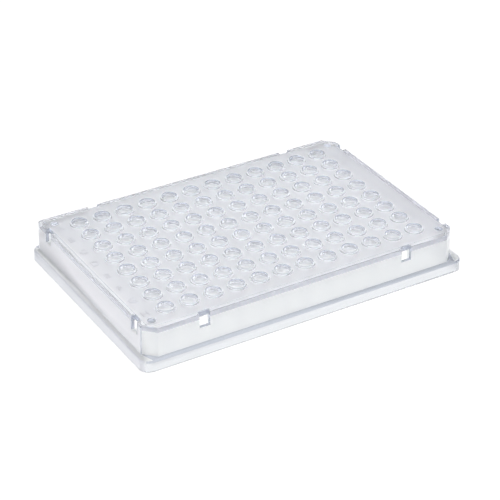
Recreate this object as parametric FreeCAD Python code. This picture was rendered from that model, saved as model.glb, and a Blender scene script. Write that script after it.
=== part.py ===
"""Full-skirted plate of 96 conical wells, moulded in one piece of clear plastic.

Millimetres, +Z up. The origin is the middle of the base, on the surface that the plate stands on. X runs along
the rows of twelve wells and Y along the columns of eight. Row A is at +Y and column 1 at -X.
"""

import FreeCAD
import Part

import math
import os

# Well grid
COLUMNS = 12
ROWS = 8
PITCH = 9.0

# Foot: the flange that the plate stands on
FOOT_LENGTH = 127.76
FOOT_WIDTH = 85.48
FOOT_CORNER_RADIUS = 3.8
FOOT_HEIGHT = 4.0
FOOT_EDGE_RADIUS = 0.6

# Shell: the upper walls, which lean in by the draft angle, and the deck that carries the wells. The ledges are
# what the foot shows outside the walls.
END_LEDGE = 2.13
SIDE_LEDGE = 1.76
DRAFT_ANGLE = 1.5
WALL = 1.25
DECK_HEIGHT = 14.96
DECK_THICKNESS = 2.0
DECK_EDGE_RADIUS = 0.2

# Shell corners: one is square with its edge rounded, which marks well A1, and the other three are cut off
CORNER_CUT = 4.1
SQUARE_CORNER_RADIUS = 1.2

# Notches: each one opens the top of a wall and reaches a little way into the deck
NOTCH_WIDTH = 4.0
NOTCH_DEPTH = 5.2
NOTCH_INTO_DECK = 0.3
SIDE_NOTCH_SPACING = 80.0
END_NOTCH_SPACING = 64.0
NOTCH_OVERCUT = 1.0

# Corner holes through the deck, measured in from its edges
CORNER_HOLE_DIAMETER = 2.9
CORNER_HOLE_FROM_END = 4.45
CORNER_HOLE_FROM_SIDE = 4.9

# Wells. Each is drawn with flat sides, with its corners on the diameters given here, so that all 96 stay light.
# The collar stands on the deck around the mouth, and the tip hangs clear of the surface that the foot stands on.
WELL_SIDES = 10
MOUTH_DIAMETER = 5.5
COLLAR_DIAMETER = 6.5
COLLAR_HEIGHT = 0.84
WELL_BOTTOM_DIAMETER = 2.5
WELL_WALL = 0.4
TIP_CLEARANCE = 0.6

# Height of the mouths above the base
MOUTH_HEIGHT = DECK_HEIGHT + COLLAR_HEIGHT

# Two heights closer than this are the same height
NEAR = 1e-6


def flat_face(corners):
    """The face inside a loop of corners that lie in one plane."""
    return Part.Face(Part.makePolygon(corners + corners[:1]))


def solid_between(low, high):
    """A solid with flat sides that run straight from one outline to a like outline above it.

    Both outlines run anticlockwise as seen from above, and every face is wound to look outwards.
    """
    faces = [flat_face(low[::-1]), flat_face(high)]
    for side in range(len(low)):
        after = (side + 1) % len(low)
        faces.append(flat_face([low[side], low[after], high[after], high[side]]))
    return Part.Solid(Part.Shell(faces))


def upright_edges(solid):
    """The edges of a block that run from its base to its top."""
    return [edge for edge in solid.Edges if edge.BoundBox.ZLength > edge.BoundBox.DiagonalLength / 2]


def level_edges(solid, height):
    """The edges that lie in the plane at one height."""
    boxes = [(edge, edge.BoundBox) for edge in solid.Edges]
    return [edge for edge, box in boxes if abs(box.ZMin - height) < NEAR and abs(box.ZMax - height) < NEAR]


def foot_block(inset, top):
    """A block with the rounded outline of the foot, moved in by inset, from the base up."""
    length = FOOT_LENGTH - 2 * inset
    width = FOOT_WIDTH - 2 * inset
    block = Part.makeBox(length, width, top, FreeCAD.Vector(-length / 2, -width / 2, 0))
    return block.makeFillet(FOOT_CORNER_RADIUS - inset, upright_edges(block))


def shell_half_sizes(height, inset):
    """Half the length and width of the shell at one height, moved in by inset."""
    leaning_in = (height - FOOT_HEIGHT) * math.tan(math.radians(DRAFT_ANGLE))
    half_length = FOOT_LENGTH / 2 - END_LEDGE - leaning_in - inset
    half_width = FOOT_WIDTH / 2 - SIDE_LEDGE - leaning_in - inset
    return half_length, half_width


def shell_outline(height, inset):
    """The corners of the shell at one height, moved in by inset: one square corner and three cut ones."""
    x, y = shell_half_sizes(height, inset)
    moved_in = shell_half_sizes(DECK_HEIGHT, 0)[0] - x
    # Moving the cut in by the same distance as the walls shortens it by 2 - sqrt(2) times that distance.
    cut = CORNER_CUT - (2 - math.sqrt(2)) * moved_in
    outline = [(-x, y), (-x, -y + cut), (-x + cut, -y), (x - cut, -y), (x, -y + cut), (x, y - cut), (x - cut, y)]
    return [FreeCAD.Vector(*corner, height) for corner in outline]


def shell_block(inset, top):
    """A block with the outline and the draft of the shell, moved in by inset, from the base up."""
    return solid_between(shell_outline(0, inset), shell_outline(top, inset))


def outer_body():
    """The foot with the shell standing on it, still solid."""
    foot = foot_block(0, FOOT_HEIGHT)
    foot = foot.makeFillet(FOOT_EDGE_RADIUS, level_edges(foot, FOOT_HEIGHT))
    shell = shell_block(0, DECK_HEIGHT)
    square_corner = max(upright_edges(shell), key=lambda edge: edge.CenterOfMass.y - edge.CenterOfMass.x)
    shell = shell.makeFillet(SQUARE_CORNER_RADIUS, [square_corner])
    shell = shell.makeFillet(DECK_EDGE_RADIUS, level_edges(shell, DECK_HEIGHT))
    return foot.fuse(shell).removeSplitter()


def underside():
    """The hollow under the deck, open at the base."""
    return foot_block(WALL, FOOT_HEIGHT - WALL).fuse(shell_block(WALL, DECK_HEIGHT - DECK_THICKNESS))


def notch_places():
    """The middle of each notch on the edge of the deck, with the direction that it faces."""
    half_length, half_width = shell_half_sizes(DECK_HEIGHT, 0)
    places = []
    for half_turn in (1, -1):
        for side in (1, -1):
            places.append((side * SIDE_NOTCH_SPACING / 2, half_turn * half_width, 90 * half_turn))
            places.append((half_turn * half_length, side * END_NOTCH_SPACING / 2, 90 - 90 * half_turn))
    return places


def notch_cutter(x, y, facing):
    """One notch, from the outside through the wall and a little way into the deck."""
    reach = WALL + NOTCH_INTO_DECK
    corner = FreeCAD.Vector(-reach, -NOTCH_WIDTH / 2, -NOTCH_DEPTH)
    cutter = Part.makeBox(reach + NOTCH_OVERCUT, NOTCH_WIDTH, NOTCH_DEPTH + NOTCH_OVERCUT, corner)
    cutter.rotate(FreeCAD.Vector(0, 0, 0), FreeCAD.Vector(0, 0, 1), facing)
    cutter.translate(FreeCAD.Vector(x, y, DECK_HEIGHT))
    return cutter


def corner_holes():
    """The four holes through the deck."""
    half_length, half_width = shell_half_sizes(DECK_HEIGHT, 0)
    holes = []
    for x_side in (-1, 1):
        for y_side in (-1, 1):
            x = x_side * (half_length - CORNER_HOLE_FROM_END)
            y = y_side * (half_width - CORNER_HOLE_FROM_SIDE)
            base = FreeCAD.Vector(x, y, DECK_HEIGHT - DECK_THICKNESS)
            holes.append(Part.makeCylinder(CORNER_HOLE_DIAMETER / 2, DECK_THICKNESS, base))
    return holes


def well_places():
    """The axis of every well, at the base plane."""
    first_x = -(COLUMNS - 1) / 2 * PITCH
    first_y = -(ROWS - 1) / 2 * PITCH
    return [
        FreeCAD.Vector(first_x + column * PITCH, first_y + row * PITCH, 0)
        for row in range(ROWS)
        for column in range(COLUMNS)
    ]


def well_ring(diameter, height):
    """The corners of a well's outline at one height."""
    spoke = FreeCAD.Vector(diameter / 2, 0, 0)
    centre = FreeCAD.Vector(0, 0, height)
    about_z = FreeCAD.Vector(0, 0, 1)
    turn = 360 / WELL_SIDES
    return [centre + FreeCAD.Rotation(about_z, turn * side) * spoke for side in range(WELL_SIDES)]


def well_body():
    """One well's collar and cone, without its bore."""
    tip = well_ring(WELL_BOTTOM_DIAMETER + 2 * WELL_WALL, TIP_CLEARANCE)
    root = well_ring(COLLAR_DIAMETER, DECK_HEIGHT - DECK_THICKNESS)
    mouth = well_ring(COLLAR_DIAMETER, MOUTH_HEIGHT)
    return solid_between(tip, root).fuse(solid_between(root, mouth))


def well_bore():
    """The space inside one well."""
    floor = well_ring(WELL_BOTTOM_DIAMETER, TIP_CLEARANCE + WELL_WALL)
    return solid_between(floor, well_ring(MOUTH_DIAMETER, MOUTH_HEIGHT))


def at_every_well(shape):
    """A copy of the shape on each well's axis."""
    return [shape.translated(place) for place in well_places()]


def plate():
    """The whole plate."""
    body = outer_body().cut(underside())
    body = body.cut([notch_cutter(*place) for place in notch_places()])
    body = body.cut(corner_holes())
    body = body.fuse(at_every_well(well_body()))
    body = body.cut(at_every_well(well_bore()))
    return body.removeSplitter()


os.makedirs("parts", exist_ok=True)
solid = plate().Solids[0]
solid.exportStep("parts/plate.step")
print("faces", len(solid.Faces), "volume", round(solid.Volume, 1))
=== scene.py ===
"""The looks of a clear moulded well plate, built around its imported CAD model. Metres, +Z up."""
import math

import bmesh
import bpy
from mathutils import Matrix, Vector


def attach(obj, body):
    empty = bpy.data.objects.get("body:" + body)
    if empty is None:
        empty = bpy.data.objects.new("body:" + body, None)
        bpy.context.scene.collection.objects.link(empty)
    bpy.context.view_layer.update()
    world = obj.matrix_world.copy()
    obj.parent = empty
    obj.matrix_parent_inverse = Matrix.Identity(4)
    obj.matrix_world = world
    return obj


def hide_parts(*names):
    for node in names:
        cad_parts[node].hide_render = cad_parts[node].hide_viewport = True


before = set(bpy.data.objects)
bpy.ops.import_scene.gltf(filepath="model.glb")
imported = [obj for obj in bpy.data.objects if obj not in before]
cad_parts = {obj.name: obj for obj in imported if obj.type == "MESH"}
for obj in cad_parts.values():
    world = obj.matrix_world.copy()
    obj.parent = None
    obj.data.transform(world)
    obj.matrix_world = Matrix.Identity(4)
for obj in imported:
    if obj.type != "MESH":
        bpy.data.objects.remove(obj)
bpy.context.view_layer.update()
MM = 0.001

# ---- Wells --------------------------------------------------------------------------------------------------
# Ninety-six thin conical wells hang from the deck, moulded with it in clear polymer. Each has a low round collar
# that stands above the deck to take a seal, and a rounded mouth, tip and root where the mould was radiused.
COLUMNS, ROWS = 12, 8
PITCH = 9.0 * MM
DECK_TOP = 14.96 * MM
DECK_UNDERSIDE = 12.96 * MM
MOUTH_HEIGHT = 15.8 * MM
COLLAR_RADIUS = 3.25 * MM
MOUTH_RADIUS = 2.75 * MM
RIM_RADIUS = 0.12 * MM
ROOT_RADIUS = 0.25 * MM
WELL_FLOOR = 1.0 * MM
FLOOR_RADIUS = 1.25 * MM
WELL_WALL = 0.4 * MM

# How far down from the mouth the two upper rings of the bore end. Each has painted shade of its own: a dark line,
# then a paler bluish band.
MOUTH_EDGE, MOUTH_BAND = 0.5 * MM, 1.5 * MM

# Corners around a well, steps in each round of its profile, and the angle at which the rounded tip turns flat
SIDES = 32
ARC_STEPS = 3
TIP_END = -75

# Points closer than this are welded
SAME_POINT = 0.001 * MM


def arc(centre_radius, centre_height, radius, start, end):
    """Points (radius, height) along a round of a lathe profile, from one angle to another in degrees."""
    points = []
    for step in range(ARC_STEPS + 1):
        angle = math.radians(start + (end - start) * step / ARC_STEPS)
        points.append((centre_radius + radius * math.cos(angle), centre_height + radius * math.sin(angle)))
    return points


def bore_profile():
    """Upper face of one cell: root, collar, rim, bore and rounded floor."""
    profile = arc(COLLAR_RADIUS + ROOT_RADIUS, DECK_TOP + ROOT_RADIUS, ROOT_RADIUS, 270, 180)
    profile += arc(COLLAR_RADIUS - RIM_RADIUS, MOUTH_HEIGHT - RIM_RADIUS, RIM_RADIUS, 0, 90)
    profile += arc(MOUTH_RADIUS + RIM_RADIUS, MOUTH_HEIGHT - RIM_RADIUS, RIM_RADIUS, 90, 180)
    slope = (MOUTH_RADIUS - FLOOR_RADIUS) / (MOUTH_HEIGHT - RIM_RADIUS - WELL_FLOOR - FLOOR_RADIUS)
    for depth in (MOUTH_EDGE, MOUTH_BAND):
        profile.append((MOUTH_RADIUS - slope * (depth - RIM_RADIUS), MOUTH_HEIGHT - depth))
    profile += arc(0, WELL_FLOOR + FLOOR_RADIUS, FLOOR_RADIUS, 0, TIP_END)
    return profile


def outside_profile():
    """Lower face of one cell: the root of the cone in the deck's underside, the cone and its rounded tip."""
    tip_radius = FLOOR_RADIUS + WELL_WALL
    root_radius = MOUTH_RADIUS + WELL_WALL
    profile = arc(root_radius + ROOT_RADIUS, DECK_UNDERSIDE - ROOT_RADIUS, ROOT_RADIUS, 90, 180)
    profile += arc(0, WELL_FLOOR + FLOOR_RADIUS, tip_radius, 0, TIP_END)
    return profile


def ring(mesh, radius, height):
    """A round ring of vertices."""
    turns = [2 * math.pi * k / SIDES for k in range(SIDES)]
    return [mesh.verts.new((radius * math.cos(a), radius * math.sin(a), height)) for a in turns]


def square_ring(mesh, height):
    """The same number of vertices along the edge of a cell, so that neighbouring cells meet point to point."""
    verts = []
    for k in range(SIDES):
        angle = 2 * math.pi * k / SIDES
        reach = PITCH / 2 / max(abs(math.cos(angle)), abs(math.sin(angle)))
        verts.append(mesh.verts.new((reach * math.cos(angle), reach * math.sin(angle), height)))
    return verts


def skin(mesh, rings, upwards):
    """Quads between one ring and the next, and one flat face that closes the last ring."""
    for outer, inner in zip(rings, rings[1:]):
        for k in range(SIDES):
            quad = [outer[k - 1], outer[k], inner[k], inner[k - 1]]
            mesh.faces.new(quad if upwards else quad[::-1])
    mesh.faces.new(rings[-1] if upwards else rings[-1][::-1])


def well_cell():
    """One cell of the deck with its well, open at its four sides."""
    mesh = bmesh.new()
    top = [square_ring(mesh, DECK_TOP)] + [ring(mesh, r, z) for r, z in bore_profile()]
    underside = [square_ring(mesh, DECK_UNDERSIDE)] + [ring(mesh, r, z) for r, z in outside_profile()]
    skin(mesh, top, True)
    skin(mesh, underside, False)
    cell = bpy.data.meshes.new("well_cell")
    mesh.to_mesh(cell)
    mesh.free()
    return bpy.data.objects.new("well_cell", cell)


# The polymer bends light by this much. Its skin is uneven in patches: the gloss and the tint drift between them by
# these shares, and the ripple is the height of its relief.
REFRACTION = 1.5
PATCH, PATCH_DETAIL = 8.0 * MM, 2
GLOSS_DRIFT, CLOUDING = 0.08, 0.01
RIPPLE = 0.004 * MM


def moulded_plastic(name, tint, clear, roughness):
    """Translucent moulded polymer. Clear is the share of light that passes."""
    material = bpy.data.materials.new(name)
    material.use_nodes = True
    nodes, link = material.node_tree.nodes, material.node_tree.links.new
    shader = nodes["Principled BSDF"]
    shader.inputs["IOR"].default_value = REFRACTION
    shader.inputs["Transmission Weight"].default_value = clear
    place = nodes.new("ShaderNodeTexCoord")
    patches = nodes.new("ShaderNodeTexNoise")
    patches.inputs["Scale"].default_value = 1 / PATCH
    patches.inputs["Detail"].default_value = PATCH_DETAIL
    gloss = nodes.new("ShaderNodeMapRange")
    gloss.inputs["To Min"].default_value = roughness * (1 - GLOSS_DRIFT)
    gloss.inputs["To Max"].default_value = roughness * (1 + GLOSS_DRIFT)
    cloud = nodes.new("ShaderNodeValToRGB")
    for stop, share in zip(cloud.color_ramp.elements, (1 - CLOUDING, 1 + CLOUDING)):
        stop.color = (*(min(1, channel * share) for channel in tint), 1)
    relief = nodes.new("ShaderNodeBump")
    relief.inputs["Distance"].default_value = RIPPLE
    link(place.outputs["Object"], patches.inputs["Vector"])
    link(patches.outputs["Fac"], gloss.inputs["Value"])
    link(patches.outputs["Fac"], cloud.inputs["Fac"])
    link(patches.outputs["Fac"], relief.inputs["Height"])
    link(gloss.outputs["Result"], shader.inputs["Roughness"])
    link(cloud.outputs["Color"], shader.inputs["Base Color"])
    link(relief.outputs["Normal"], shader.inputs["Normal"])
    return material


# Each finish has a tint, the share of light that passes, and a roughness.
deck_skin = moulded_plastic("deck_skin", (0.938, 0.942, 0.976), 0.7, 0.30)
well_bore = moulded_plastic("well_bore", (1.000, 1.000, 1.000), 1.0, 0.30)
# Painted shade inside each well's lip: a dark line right at the mouth and a paler bluish band below it.
mouth_shade_line = moulded_plastic("mouth_shade_line", (0.600, 0.650, 0.770), 0.8, 0.20)
mouth_shade_band = moulded_plastic("mouth_shade_band", (0.895, 0.920, 0.975), 0.95, 0.24)
collar_root = moulded_plastic("collar_root", (0.950, 0.960, 0.985), 0.9, 0.11)
collar = moulded_plastic("collar", (0.970, 0.978, 0.992), 0.9, 0.35)


def field_tree():
    """Geometry nodes that repeat the cell over the grid of rows and columns and weld the cells together."""
    tree = bpy.data.node_groups.new("well_field", "GeometryNodeTree")
    face = tree.interface
    face.new_socket("Geometry", in_out="OUTPUT", socket_type="NodeSocketGeometry")
    for name, kind in (("Cell", "NodeSocketObject"), ("Columns", "NodeSocketInt"), ("Rows", "NodeSocketInt"),
                       ("Pitch", "NodeSocketFloat"), ("Material", "NodeSocketMaterial")):
        face.new_socket(name, in_out="INPUT", socket_type=kind)
    nodes, link = tree.nodes, tree.links.new
    given = nodes.new("NodeGroupInput")
    result = nodes.new("NodeGroupOutput")
    grid = nodes.new("GeometryNodeMeshGrid")
    for count, size, vertices in (("Columns", "Size X", "Vertices X"), ("Rows", "Size Y", "Vertices Y")):
        gaps = nodes.new("ShaderNodeMath")
        gaps.operation = "SUBTRACT"
        gaps.inputs[1].default_value = 1
        length = nodes.new("ShaderNodeMath")
        length.operation = "MULTIPLY"
        link(given.outputs[count], gaps.inputs[0])
        link(gaps.outputs[0], length.inputs[0])
        link(given.outputs["Pitch"], length.inputs[1])
        link(length.outputs[0], grid.inputs[size])
        link(given.outputs[count], grid.inputs[vertices])
    cell = nodes.new("GeometryNodeObjectInfo")
    place = nodes.new("GeometryNodeInstanceOnPoints")
    real = nodes.new("GeometryNodeRealizeInstances")
    weld = nodes.new("GeometryNodeMergeByDistance")
    weld.inputs["Distance"].default_value = SAME_POINT
    finish = nodes.new("GeometryNodeSetMaterial")
    link(given.outputs["Cell"], cell.inputs["Object"])
    link(grid.outputs["Mesh"], place.inputs["Points"])
    link(cell.outputs["Geometry"], place.inputs["Instance"])
    link(place.outputs["Instances"], real.inputs["Geometry"])
    link(real.outputs["Geometry"], weld.inputs["Geometry"])
    link(weld.outputs["Geometry"], finish.inputs["Geometry"])
    link(given.outputs["Material"], finish.inputs["Material"])
    link(finish.outputs["Geometry"], result.inputs["Geometry"])
    return tree


def grown(name, tree, values):
    """The plain mesh that a geometry nodes tree makes from the given input values."""
    holder = bpy.data.objects.new(name, bpy.data.meshes.new(name))
    bpy.context.scene.collection.objects.link(holder)
    modifier = holder.modifiers.new(name, "NODES")
    modifier.node_group = tree
    for item in tree.interface.items_tree:
        if item.item_type == "SOCKET" and item.in_out == "INPUT":
            modifier[item.identifier] = values[item.name]
    evaluated = holder.evaluated_get(bpy.context.evaluated_depsgraph_get())
    mesh = bpy.data.meshes.new_from_object(evaluated)
    bpy.data.objects.remove(holder)
    return mesh


cell = well_cell()
field = grown("well_field", field_tree(),
              {"Cell": cell, "Columns": COLUMNS, "Rows": ROWS, "Pitch": PITCH, "Material": deck_skin})
bpy.data.objects.remove(cell)

# ---- Plate --------------------------------------------------------------------------------------------------
# The foot, walls and deck of the same moulding. Their form is the CAD part's own; its flat-sided wells are cut
# out, and the round ones above are welded into the deck in their place.
FIELD_HALF_LENGTH = COLUMNS * PITCH / 2
FIELD_HALF_WIDTH = ROWS * PITCH / 2
DECK_HALF_LENGTH = 61.455 * MM
DECK_HALF_WIDTH = 40.68 * MM
FOOT_HEIGHT = 4.0 * MM

# Heights and places closer than this are the same
NEAR = 0.01 * MM

# A strip along the edge of the deck, where the wall shows through, and the fine line along its inner side, both in
# painted shade
STRIP, STRIP_LINE = 1.5 * MM, 0.3 * MM

# The upright creases where the cut corners meet the walls are softened by this round. A crease leans by no more
# than the draft and turns by about 45 degrees, and its x and y, both without sign, come to about the same sum.
CREASE_ROUND, CREASE_STEPS = 0.3 * MM, 3
UPRIGHT_SHARE = 0.95
CREASE_ANGLE = math.radians(40)
SHORTEST_CREASE = 0.5 * MM
CREASE_SUM, CREASE_SUM_SLACK = 97.7 * MM, 1.0 * MM

# Past this x a crease stands on an end wall. Its round is marked by this material index until it gets painted shade,
# a dark line down the crease.
END_CREASE = 60.0 * MM
CREASE_MARK = 1

# The four holes through the corners of the deck
HOLE_X, HOLE_Y, HOLE_RADIUS = 57.005 * MM, 35.78 * MM, 1.47 * MM

# Bounds on a face's normal. In z: level, sloping up, down, and plumb without draft. In y: on a long side.
LEVEL, SLOPING_UP, DOWN, PLUMB = 0.999, 0.1, -0.9, 0.01
LONG_SIDE = 0.6

# Edges that turn by more than this stay sharp
SHARP_ANGLE = math.radians(35)

# Painted shade: the strip along the deck's edge is darker, and the fine line inside it darker still.
shaded_rim_strip = moulded_plastic("shaded_rim_strip", (0.905, 0.915, 0.955), 0.85, 0.15)
strip_shade_line = moulded_plastic("strip_shade_line", (0.780, 0.810, 0.890), 0.8, 0.15)
wall_skin = moulded_plastic("wall_skin", (0.972, 0.997, 1.000), 0.6, 0.30)
# The end walls take a darker copy of the long walls' tint: painted shade.
shaded_end_skin = moulded_plastic("shaded_end_skin", (0.889, 0.888, 0.930), 0.6, 0.30)
foot_skin = moulded_plastic("foot_skin", (0.850, 0.878, 0.908), 0.8, 0.15)
# The foot's ends and their top round take a darker copy of the foot's tint: painted shade.
shaded_foot_end = moulded_plastic("shaded_foot_end", (0.800, 0.812, 0.872), 0.6, 0.30)
hidden_side = moulded_plastic("hidden_side", (0.920, 0.930, 0.950), 1.0, 0.50)
# Painted shade: a dark line along the rounded upper edges.
shaded_edge = moulded_plastic("shaded_edge", (0.800, 0.830, 0.900), 0.9, 0.10)
# Painted shade: the foot's ledge and top round along the long sides, the upright cut faces of the notches and the
# end creases' rounds.
shade = moulded_plastic("shade", (0.550, 0.595, 0.700), 0.7, 0.10)
# Painted shade on the walls of the four corner holes.
shaded_hole_wall = moulded_plastic("shaded_hole_wall", (0.720, 0.780, 0.880), 1.0, 0.04)
# Painted shade on the outer side faces along the deck slab's thickness.
deck_side_shade = moulded_plastic("deck_side_shade", (0.743, 0.760, 0.826), 0.7, 0.25)
FINISHES = (deck_skin, shaded_rim_strip, strip_shade_line, wall_skin, shaded_end_skin, foot_skin, shaded_foot_end, hidden_side, well_bore,
            mouth_shade_line, mouth_shade_band, collar_root, collar, shaded_edge, shade, shaded_hole_wall, deck_side_shade)


def in_field(point):
    """Whether a point lies within the field of wells, as seen from above."""
    return abs(point.x) < FIELD_HALF_LENGTH + NEAR and abs(point.y) < FIELD_HALF_WIDTH + NEAR


def all_in_field(face):
    return all(in_field(v.co) for v in face.verts)


def all_at(verts, height):
    return all(abs(v.co.z - height) < NEAR for v in verts)


def cut_across(mesh, faces, place, facing):
    """Splits the given faces along a plane."""
    bounds = {e for f in faces for e in f.edges} | {v for f in faces for v in f.verts}
    bmesh.ops.bisect_plane(mesh, geom=faces + list(bounds), plane_co=place, plane_no=facing, dist=SAME_POINT)


def is_crease(line):
    """Whether an edge is one of the upright creases of the cut corners."""
    top, low = sorted(line.verts, key=lambda v: -v.co.z)
    upright = top.co.z - low.co.z > UPRIGHT_SHARE * line.calc_length()
    standing = low.co.z > FOOT_HEIGHT - NEAR and abs(line.calc_face_angle(0)) > CREASE_ANGLE
    at_cut = abs(abs(top.co.x) + abs(top.co.y) - CREASE_SUM) < CREASE_SUM_SLACK
    return upright and standing and at_cut and line.calc_length() > SHORTEST_CREASE


body = bmesh.new()
body.from_mesh(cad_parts["plate"].data)
bmesh.ops.remove_doubles(body, verts=body.verts, dist=SAME_POINT)
deck = [f for f in body.faces if all_at(f.verts, DECK_TOP) or all_at(f.verts, DECK_UNDERSIDE)]
wells = [f for f in body.faces if all_in_field(f)]
bmesh.ops.delete(body, geom=list(set(deck + wells)), context="FACES")
walls = [f for f in body.faces if min(v.co.z for v in f.verts) < DECK_UNDERSIDE - NEAR]
cut_across(body, walls, (0, 0, DECK_UNDERSIDE), (0, 0, 1))
body.from_mesh(field)
for height in (DECK_TOP, DECK_UNDERSIDE):
    open_edges = [e for e in body.edges if e.is_boundary and all_at(e.verts, height)]
    bmesh.ops.triangle_fill(body, use_beauty=True, edges=open_edges)
for inset in (STRIP, STRIP + STRIP_LINE):
    for axis, half in (((1, 0, 0), DECK_HALF_LENGTH - inset), ((0, 1, 0), DECK_HALF_WIDTH - inset)):
        for side in (1, -1):
            border = [f for f in body.faces if all_at(f.verts, DECK_TOP) and not all_in_field(f)]
            cut_across(body, border, [side * half * a for a in axis], axis)
creases = [e for e in body.edges if is_crease(e)]
for face in body.faces:
    face.material_index = 0
rounds = bmesh.ops.bevel(body, geom=creases, offset=CREASE_ROUND, segments=CREASE_STEPS, profile=0.5, affect="EDGES")
for face in rounds["faces"]:
    if abs(face.calc_center_median().x) > END_CREASE:
        face.material_index = CREASE_MARK
bmesh.ops.recalc_face_normals(body, faces=body.faces)
mesh = bpy.data.meshes.new("moulded_plate")
body.to_mesh(mesh)
body.free()
for finish in FINISHES:
    mesh.materials.append(finish)
mesh.shade_smooth()
mesh.set_sharp_from_angle(angle=SHARP_ANGLE)
plate = bpy.data.objects.new("moulded_plate", mesh)
bpy.context.scene.collection.objects.link(plate)


def well_finish(middle, normal):
    """The finish of a face in the field of wells, which the nearest well's axis decides."""
    if normal.z > LEVEL and abs(middle.z - DECK_TOP) < NEAR:
        return deck_skin
    from_axis_x = middle.x - (math.floor(middle.x / PITCH) + 0.5) * PITCH
    from_axis_y = middle.y - (math.floor(middle.y / PITCH) + 0.5) * PITCH
    outwards = from_axis_x * normal.x + from_axis_y * normal.y
    # Just below the mouth the bore's inner faces get painted shade: a dark line, then a paler bluish band.
    if outwards < 0 and middle.z > MOUTH_HEIGHT - MOUTH_EDGE:
        return mouth_shade_line
    if outwards < 0 and middle.z > MOUTH_HEIGHT - MOUTH_BAND:
        return mouth_shade_band
    if middle.z > DECK_TOP - NEAR:
        return collar_root if math.hypot(from_axis_x, from_axis_y) > COLLAR_RADIUS else collar
    return hidden_side if outwards > 0 or normal.z < DOWN else well_bore


def shell_finish(middle, normal):
    """The finish of a face of the foot, the walls or the border of the deck."""
    from_end = DECK_HALF_LENGTH - abs(middle.x)
    from_side = DECK_HALF_WIDTH - abs(middle.y)
    at_side = from_side < from_end
    if normal.z > LEVEL:
        # The foot's ledge: painted shade along the long sides, and the long walls' lighter tint at the ends.
        if middle.z < DECK_TOP - NEAR:
            return shade if at_side else wall_skin
        # Along the deck's edge: a strip of painted shade, and a fine painted dark line inside it.
        from_edge = min(from_end, from_side)
        if from_edge < STRIP:
            return shaded_rim_strip
        return strip_shade_line if from_edge < STRIP + STRIP_LINE else deck_skin
    # Sloping faces get painted shade: a dark line on the rounded upper edges, and on the foot's top round the long
    # sides' shade or the ends' darker tint.
    if normal.z > SLOPING_UP:
        if middle.z > FOOT_HEIGHT:
            return shaded_edge
        return shade if at_side else shaded_foot_end
    if normal.z < DOWN:
        return hidden_side
    faces_in = middle.x * normal.x < -NEAR or middle.y * normal.y < -NEAR
    if faces_in and middle.z < DECK_UNDERSIDE and (abs(normal.z) > PLUMB or middle.z < FOOT_HEIGHT):
        return hidden_side
    # The walls of the corner holes get painted shade.
    from_hole = math.hypot(abs(middle.x) - HOLE_X, abs(middle.y) - HOLE_Y)
    if middle.z > DECK_UNDERSIDE and from_hole < HOLE_RADIUS + NEAR:
        return shaded_hole_wall
    # The upright cut faces of the notches get painted shade.
    if abs(normal.z) < PLUMB and middle.z > FOOT_HEIGHT:
        return shade
    # The outer side faces along the deck slab's thickness get painted shade.
    if middle.z > DECK_UNDERSIDE:
        return deck_side_shade
    # The end walls and the foot's ends take darker tints than the long sides: painted shade.
    on_long_side = abs(normal.y) > LONG_SIDE
    if middle.z > FOOT_HEIGHT:
        return wall_skin if on_long_side else shaded_end_skin
    return foot_skin if on_long_side else shaded_foot_end


for face in mesh.polygons:
    if face.material_index == CREASE_MARK:
        finish = shade
    elif in_field(face.center):
        finish = well_finish(face.center, face.normal)
    else:
        finish = shell_finish(face.center, face.normal)
    face.material_index = FINISHES.index(finish)
flats = plate.modifiers.new("flats", "WEIGHTED_NORMAL")
flats.weight = 100
flats.keep_sharp = True
dressed = bpy.data.meshes.new_from_object(plate.evaluated_get(bpy.context.evaluated_depsgraph_get()))
plate.modifiers.clear()
plate.data = dressed
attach(plate, "root")
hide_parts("plate")

# ---- Row letters --------------------------------------------------------------------------------------------
# Plain letters from A to H stand just proud of the deck beside column 1 and name the rows. They are cut into the
# mould and have the deck's own finish, so only their relief shows.
LETTER_HEIGHT = 3.0 * MM
LETTER_RISE = 0.12 * MM
LETTER_X = -57.0 * MM
CAPITAL_SHARE = 0.70
LETTER_CURVE_STEPS = 4

lettering = bmesh.new()
for row in range(ROWS):
    text = bpy.data.curves.new("row_letter", "FONT")
    text.body = chr(ord("A") + row)
    text.size = LETTER_HEIGHT / CAPITAL_SHARE
    text.extrude = LETTER_RISE
    text.align_x, text.align_y = "CENTER", "CENTER"
    text.resolution_u = LETTER_CURVE_STEPS
    holder = bpy.data.objects.new("row_letter", text)
    bpy.context.scene.collection.objects.link(holder)
    solid = bpy.data.meshes.new_from_object(holder.evaluated_get(bpy.context.evaluated_depsgraph_get()))
    solid.transform(Matrix.Translation((LETTER_X, ((ROWS - 1) / 2 - row) * PITCH, DECK_TOP)))
    lettering.from_mesh(solid)
    bpy.data.objects.remove(holder)
bmesh.ops.remove_doubles(lettering, verts=lettering.verts, dist=SAME_POINT)
bmesh.ops.recalc_face_normals(lettering, faces=lettering.faces)
mesh = bpy.data.meshes.new("row_letters")
lettering.to_mesh(mesh)
lettering.free()
mesh.materials.append(deck_skin)
letters = bpy.data.objects.new("row_letters", mesh)
bpy.context.scene.collection.objects.link(letters)
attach(letters, "root")

# ---- Table --------------------------------------------------------------------------------------------------
# A white table top, lit so evenly that it takes no shadow. It lies a hair below the foot, so that the two don't
# share a plane.
TABLE_REACH = 3.0
TABLE_DROP = 0.02 * MM

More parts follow.
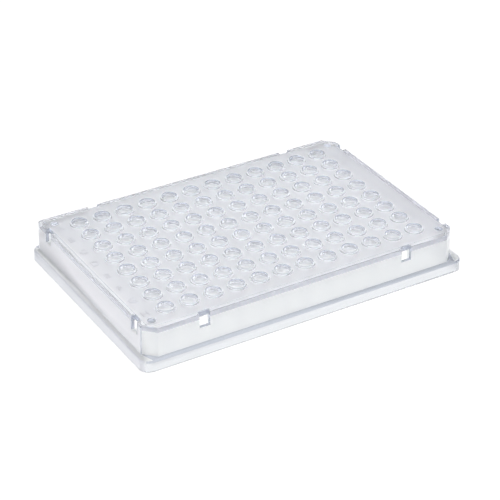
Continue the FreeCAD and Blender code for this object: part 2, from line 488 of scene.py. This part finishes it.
floor_mesh = bpy.data.meshes.new("floor")
corners = [(-TABLE_REACH, -TABLE_REACH, 0), (TABLE_REACH, -TABLE_REACH, 0),
           (TABLE_REACH, TABLE_REACH, 0), (-TABLE_REACH, TABLE_REACH, 0)]
floor_mesh.from_pydata(corners, [], [(0, 1, 2, 3)])
floor = bpy.data.objects.new("floor", floor_mesh)
bpy.context.scene.collection.objects.link(floor)
floor.location.z = -TABLE_DROP
white = bpy.data.materials.new("white_table")
white.use_nodes = True
for socket, value in (("Base Color", (0.1, 0.1, 0.1, 1)), ("Emission Color", (1, 1, 1, 1)), ("Emission Strength", 1),
                      ("Roughness", 0.9), ("Specular IOR Level", 0)):
    white.node_tree.nodes["Principled BSDF"].inputs[socket].default_value = value
floor_mesh.materials.append(white)

# ---- Light --------------------------------------------------------------------------------------------------
# A pale studio all round: dimmer on the side in front of row H and column 1, and with a soft lamp overhead. The
# angles are how far from its middle a zone ends, and how far it keeps its full strength, in degrees.
ROOM, DIM_SIDE, LAMP = 0.72, 0.30, 1.0
TOWARDS_DIM_SIDE, DIM_EDGE, DIM_MIDDLE = (-0.44, -0.73, 0.52), 60, 26
TOWARDS_LAMP, LAMP_EDGE, LAMP_MIDDLE = (0.0, 0.15, 1.0), 24, 16

world = bpy.data.worlds.new("studio")
bpy.context.scene.world = world
world.use_nodes = True
sky = world.node_tree
sky.nodes["Background"].inputs["Color"].default_value = (1, 1, 1, 1)
direction = sky.nodes.new("ShaderNodeTexCoord")


def sky_zone(towards, edge_angle, middle_angle, outside, inside):
    """The brightness of a round zone of the sky, from its edge to its middle."""
    facing = sky.nodes.new("ShaderNodeVectorMath")
    facing.operation = "DOT_PRODUCT"
    facing.inputs[1].default_value = Vector(towards).normalized()
    zone = sky.nodes.new("ShaderNodeMapRange")
    zone.interpolation_type = "SMOOTHSTEP"
    zone.inputs["From Min"].default_value = math.cos(math.radians(edge_angle))
    zone.inputs["From Max"].default_value = math.cos(math.radians(middle_angle))
    zone.inputs["To Min"].default_value = outside
    zone.inputs["To Max"].default_value = inside
    sky.links.new(direction.outputs["Generated"], facing.inputs[0])
    sky.links.new(facing.outputs["Value"], zone.inputs["Value"])
    return zone.outputs["Result"]


total = sky.nodes.new("ShaderNodeMath")
total.operation = "ADD"
sky.links.new(sky_zone(TOWARDS_DIM_SIDE, DIM_EDGE, DIM_MIDDLE, ROOM, DIM_SIDE), total.inputs[0])
sky.links.new(sky_zone(TOWARDS_LAMP, LAMP_EDGE, LAMP_MIDDLE, 0.0, LAMP), total.inputs[1])
sky.links.new(total.outputs[0], sky.nodes["Background"].inputs["Strength"])

# ---- Camera -------------------------------------------------------------------------------------------------
# It stands well back on a long lens, in front of row H and to the left of column 1, and looks down. Angles are in
# degrees, and the lens and the sensor in millimetres.
CAMERA_TURN = -30.948
CAMERA_PITCH = 31.309
CAMERA_ROLL = 0.17
CAMERA_PLACE = Vector((-294.5, -493.7, 354.9)) * MM
LENS = 137.1
SENSOR_WIDTH = 36
NEAREST = 0.01

# Light crosses many thin walls on its way, so it may turn this often
MOST_BOUNCES = 32

camera_data = bpy.data.cameras.new("camera")
camera_data.lens = LENS
camera_data.sensor_width = SENSOR_WIDTH
camera_data.clip_start = NEAREST
camera = bpy.data.objects.new("camera", camera_data)
turn = Matrix.Rotation(math.radians(CAMERA_TURN), 3, "Z")
tilt = Matrix.Rotation(math.radians(90 - CAMERA_PITCH), 3, "X")
roll = Matrix.Rotation(math.radians(CAMERA_ROLL), 3, "Z")
camera.matrix_world = Matrix.Translation(CAMERA_PLACE) @ (turn @ tilt @ roll).to_4x4()
bpy.context.scene.collection.objects.link(camera)
bpy.context.scene.camera = camera
bpy.context.scene.view_settings.view_transform = "Standard"
for kind in ("max_bounces", "transmission_bounces", "glossy_bounces", "diffuse_bounces"):
    setattr(bpy.context.scene.cycles, kind, MOST_BOUNCES)
bpy.context.scene.cycles.blur_glossy = 0
